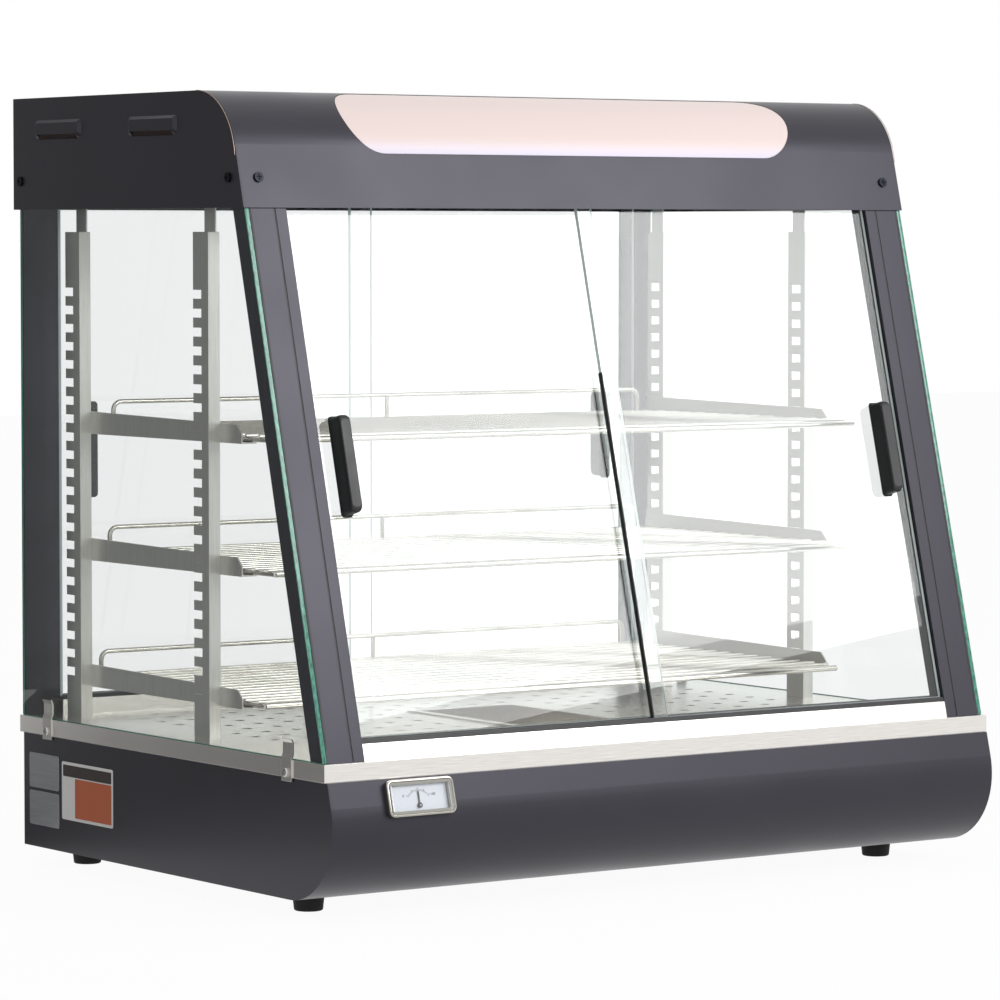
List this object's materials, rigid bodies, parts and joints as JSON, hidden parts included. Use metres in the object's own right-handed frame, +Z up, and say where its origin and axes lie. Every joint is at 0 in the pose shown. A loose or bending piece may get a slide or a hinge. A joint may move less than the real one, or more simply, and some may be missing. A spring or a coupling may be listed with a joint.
{
  "type": "food display warmer",
  "caption": "Countertop glass food warmer with a leaning front, sliding doors front and rear, wire shelves and a lit canopy.",
  "frame": {"origin": "centre of the bounding box on the plane the feet stand on", "axes": "+X right seen from the front, +Y to the rear, +Z up"},
  "size_m": [0.6668, 0.4974, 0.6385],
  "materials": {
    "black_paint": "satin black powder coat",
    "tray_steel": "brushed stainless sheet",
    "rack_steel": "satin stainless sheet",
    "chrome_wire": "bright chrome wire",
    "clear_glass": "clear toughened glass with green edges",
    "black_plastic": "moulded black plastic",
    "foot_rubber": "black rubber",
    "diffuser": "pink-white opal diffuser",
    "screw_black": "black oxide screws",
    "screw_steel": "polished stainless screws",
    "heater_steel": "heater tube",
    "gauge_frame": "clear and chromed plastic frame",
    "gauge_face": "printed white dial",
    "needle_black": "black pointer",
    "rocker_red": "red switch rocker",
    "lamp_opal": "opal lamp tube"
  },
  "bodies": {
    "cabinet": {"base_front_wrap": "black_paint", "base_side_left": "black_paint", "base_side_right": "black_paint", "base_rear_panel": "black_paint", "base_bottom_plate": "black_paint", "feet": "foot_rubber", "foot_screws": "screw_steel", "deck_tray": "tray_steel", "heating_element": "heater_steel", "element_brackets": "rack_steel", "glass_clips": "rack_steel", "clip_screws": "screw_steel", "canopy_wrap": "black_paint", "canopy_side_left": "black_paint", "canopy_side_right": "black_paint", "canopy_rear_panel": "black_paint", "canopy_ceiling": "tray_steel", "canopy_screws": "screw_black", "light_window": "diffuser", "lamp_tube": "lamp_opal", "lamp_holders": "black_plastic", "front_sill": "tray_steel", "rear_sill": "tray_steel", "door_tracks": "black_plastic", "top_tracks": "black_plastic", "rack_posts_left": "rack_steel", "rack_posts_right": "rack_steel", "post_hangers": "rack_steel", "front_pillar_left": "black_paint", "front_pillar_right": "black_paint", "rear_pillar_left": "black_paint", "rear_pillar_right": "black_paint", "side_glass_left": "clear_glass", "side_glass_right": "clear_glass", "thermometer_case": "gauge_frame", "thermometer_dial": "gauge_face", "thermometer_lens": "clear_glass", "thermostat_body": "black_plastic", "switch_bodies": "black_plastic", "cord_gland": "black_plastic", "shelf_brackets_top": "rack_steel", "shelf_brackets_middle": "rack_steel", "shelf_brackets_bottom": "rack_steel"},
    "water_pan": {"water_pan": "tray_steel"},
    "needle": {"thermometer_needle": "needle_black"},
    "knob": {"thermostat_knob": "black_plastic"},
    "power_rocker": {"power_rocker": "rocker_red"},
    "light_rocker": {"light_rocker": "black_plastic"},
    "front_door_left": {"front_door_left": "clear_glass", "front_handle_left": "black_plastic"},
    "front_door_right": {"front_door_right": "clear_glass", "front_handle_right": "black_plastic"},
    "rear_door_left": {"rear_door_left": "clear_glass", "rear_handle_left": "black_plastic"},
    "rear_door_right": {"rear_door_right": "clear_glass", "rear_handle_right": "black_plastic"},
    "shelf_top": {"shelf_top": "chrome_wire"},
    "shelf_middle": {"shelf_middle": "chrome_wire"},
    "shelf_bottom": {"shelf_bottom": "chrome_wire"}
  },
  "joints": [
    {"name": "front_left_slide", "type": "slide", "parent": "cabinet", "child": "front_door_left", "axis": [1, 0, 0], "range_m": [0, 0.251]},
    {"name": "front_right_slide", "type": "slide", "parent": "cabinet", "child": "front_door_right", "axis": [1, 0, 0], "range_m": [-0.251, 0]},
    {"name": "rear_left_slide", "type": "slide", "parent": "cabinet", "child": "rear_door_left", "axis": [1, 0, 0], "range_m": [0, 0.251]},
    {"name": "rear_right_slide", "type": "slide", "parent": "cabinet", "child": "rear_door_right", "axis": [1, 0, 0], "range_m": [-0.251, 0]},
    {"name": "water_pan_lift", "type": "slide", "parent": "cabinet", "child": "water_pan", "axis": [0, 0, 1], "range_m": [0, 0.015]},
    {"name": "shelf_top_lift", "type": "slide", "parent": "cabinet", "child": "shelf_top", "axis": [0, 0, 1], "range_m": [0, 0.012]},
    {"name": "shelf_middle_lift", "type": "slide", "parent": "cabinet", "child": "shelf_middle", "axis": [0, 0, 1], "range_m": [0, 0.012]},
    {"name": "shelf_bottom_lift", "type": "slide", "parent": "cabinet", "child": "shelf_bottom", "axis": [0, 0, 1], "range_m": [0, 0.012]},
    {"name": "thermostat_turn", "type": "hinge", "parent": "cabinet", "child": "knob", "pos_m": [0.15, 0.2297, 0.063], "axis": [0, 1, 0], "range_deg": [0, 270]},
    {"name": "power_rocker_tilt", "type": "hinge", "parent": "cabinet", "child": "power_rocker", "pos_m": [0.07, 0.2267, 0.063], "axis": [1, 0, 0], "range_deg": [-16, 0]},
    {"name": "light_rocker_tilt", "type": "hinge", "parent": "cabinet", "child": "light_rocker", "pos_m": [0.02, 0.2267, 0.063], "axis": [1, 0, 0], "range_deg": [-16, 0]},
    {"name": "needle_swing", "type": "hinge", "parent": "cabinet", "child": "needle", "pos_m": [-0.248, -0.24109, 0.08903], "axis": [0, -0.9678, 0.2516], "range_deg": [-55, 55]}
  ]
}
